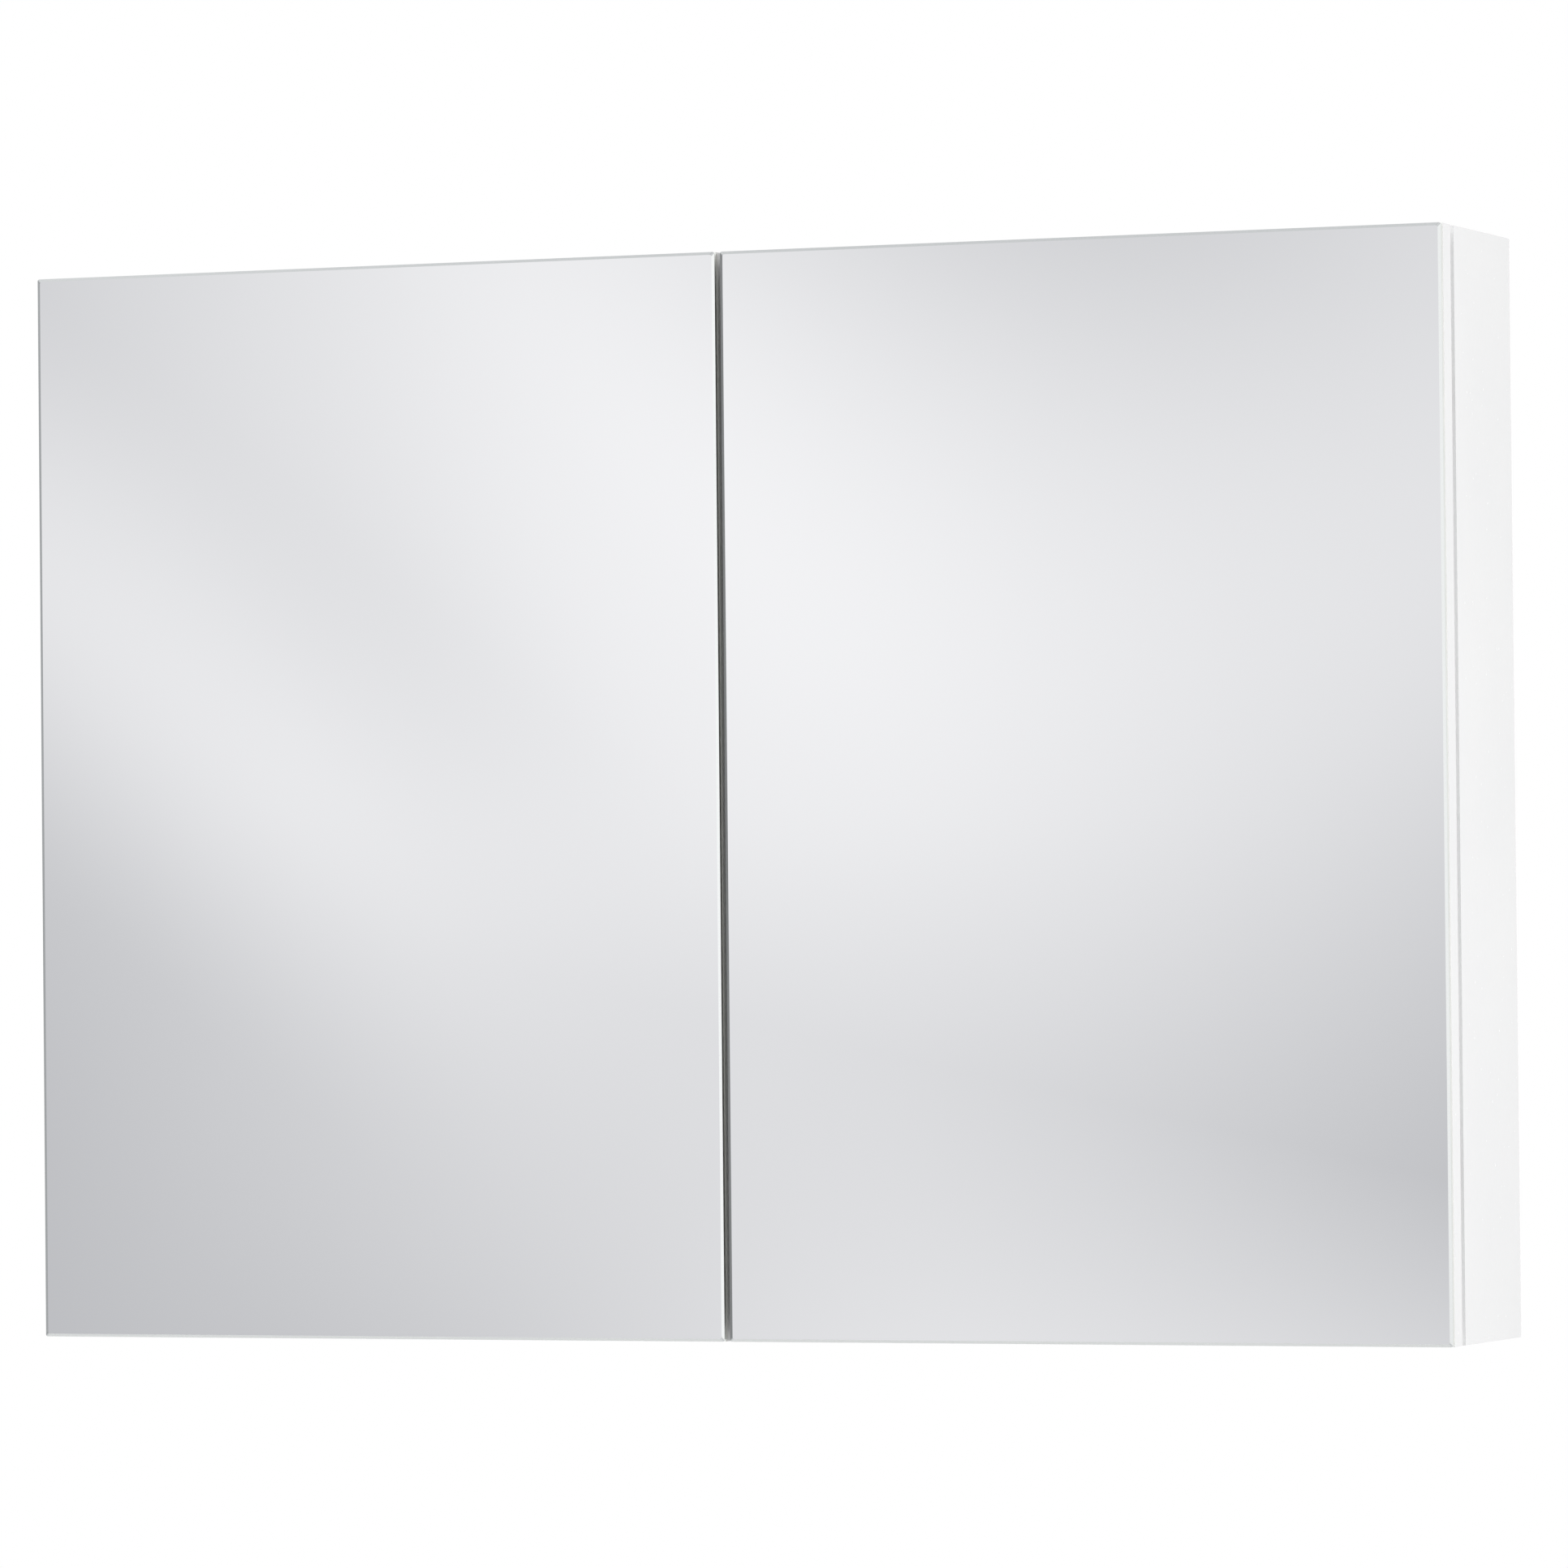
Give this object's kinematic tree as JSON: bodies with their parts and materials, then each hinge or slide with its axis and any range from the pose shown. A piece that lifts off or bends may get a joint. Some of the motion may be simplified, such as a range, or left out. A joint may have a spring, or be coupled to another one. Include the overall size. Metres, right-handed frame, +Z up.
{
  "type": "hanging wall cabinet",
  "caption": "Hanging wall cabinet with mirrored doors on concealed hinges, glass shelves inside and hooks that drop on to wall plates.",
  "frame": {"origin": "on the wall plane, at the middle of the cabinet's back, level with its underside", "axes": "+X to the right as seen from the front, +Y into the wall so that the doors face -Y, +Z up"},
  "size_m": [1, 0.15, 0.72],
  "materials": {
    "white_board": "gloss white lacquer",
    "back_board": "matt white foil",
    "mirror_glass": "silvered float glass",
    "clear_glass": "clear float glass with ground edges",
    "clear_soft_plastic": "clear soft plastic",
    "dowel_wood": "fluted beech",
    "white_plastic": "fine moulded texture",
    "tape": "closed-cell foam tape",
    "galvanised_steel": "zinc plated",
    "zinc_casting": "zinc die casting",
    "nickel_steel": "nickel plated"
  },
  "bodies": {
    "carcass": {"side_panel_left": "white_board", "side_panel_right": "white_board", "top_panel": "white_board", "bottom_panel": "white_board", "centre_partition": "white_board", "back_panel": "back_board", "cam_housings": "zinc_casting", "cam_bolts": "nickel_steel", "cam_caps": "white_plastic", "dowels": "dowel_wood", "partition_screws": "nickel_steel", "hanger_housing_left": "white_plastic", "hanger_housing_right": "white_plastic", "hanger_hook_left": "galvanised_steel", "hanger_hook_right": "galvanised_steel", "hanger_screws": "nickel_steel", "hanger_cover_left": "white_plastic", "hanger_cover_right": "white_plastic", "wall_plate_left": "galvanised_steel", "wall_plate_right": "galvanised_steel", "shelf_left_lower": "clear_glass", "shelf_left_upper": "clear_glass", "shelf_right_lower": "clear_glass", "shelf_right_upper": "clear_glass", "shelf_pins": "nickel_steel", "shelf_pads": "clear_soft_plastic", "hinge_plates_left": "nickel_steel", "hinge_plates_right": "nickel_steel", "plate_screws": "nickel_steel", "hinge_arms_left": "nickel_steel", "hinge_arms_right": "nickel_steel", "arm_screws": "nickel_steel", "arm_pins_left": "nickel_steel", "arm_pins_right": "nickel_steel"},
    "left_links": {"hinge_links_left": "nickel_steel"},
    "left_door": {"door_board_left": "white_board", "outer_mirror_left": "mirror_glass", "inner_mirror_left": "mirror_glass", "mirror_tapes_left": "tape", "hinge_cups_left": "nickel_steel", "cup_pins_left": "nickel_steel", "cup_screws_left": "nickel_steel", "door_bumpers_left": "clear_soft_plastic"},
    "right_links": {"hinge_links_right": "nickel_steel"},
    "right_door": {"door_board_right": "white_board", "outer_mirror_right": "mirror_glass", "inner_mirror_right": "mirror_glass", "mirror_tapes_right": "tape", "hinge_cups_right": "nickel_steel", "cup_pins_right": "nickel_steel", "cup_screws_right": "nickel_steel", "door_bumpers_right": "clear_soft_plastic"}
  },
  "joints": [
    {"name": "left_link_swing", "type": "hinge", "parent": "carcass", "child": "left_links", "pos_m": [-0.471, -0.1285, 0.36], "axis": [0, 0, -1], "range_deg": [-31.8, 0]},
    {"name": "left_door_swing", "type": "hinge", "parent": "left_links", "child": "left_door", "pos_m": [-0.4878, -0.1336, 0.36], "axis": [0, 0, -1], "range_deg": [0, 123.7]},
    {"name": "right_link_swing", "type": "hinge", "parent": "carcass", "child": "right_links", "pos_m": [0.471, -0.1285, 0.36], "axis": [0, 0, 1], "range_deg": [-31.8, 0]},
    {"name": "right_door_swing", "type": "hinge", "parent": "right_links", "child": "right_door", "pos_m": [0.4878, -0.1336, 0.36], "axis": [0, 0, 1], "range_deg": [0, 123.7]}
  ],
  "couplings": [
    {"joint": "left_link_swing", "follows": "left_door_swing", "ratio": -0.25651},
    {"joint": "right_link_swing", "follows": "right_door_swing", "ratio": -0.25651}
  ]
}
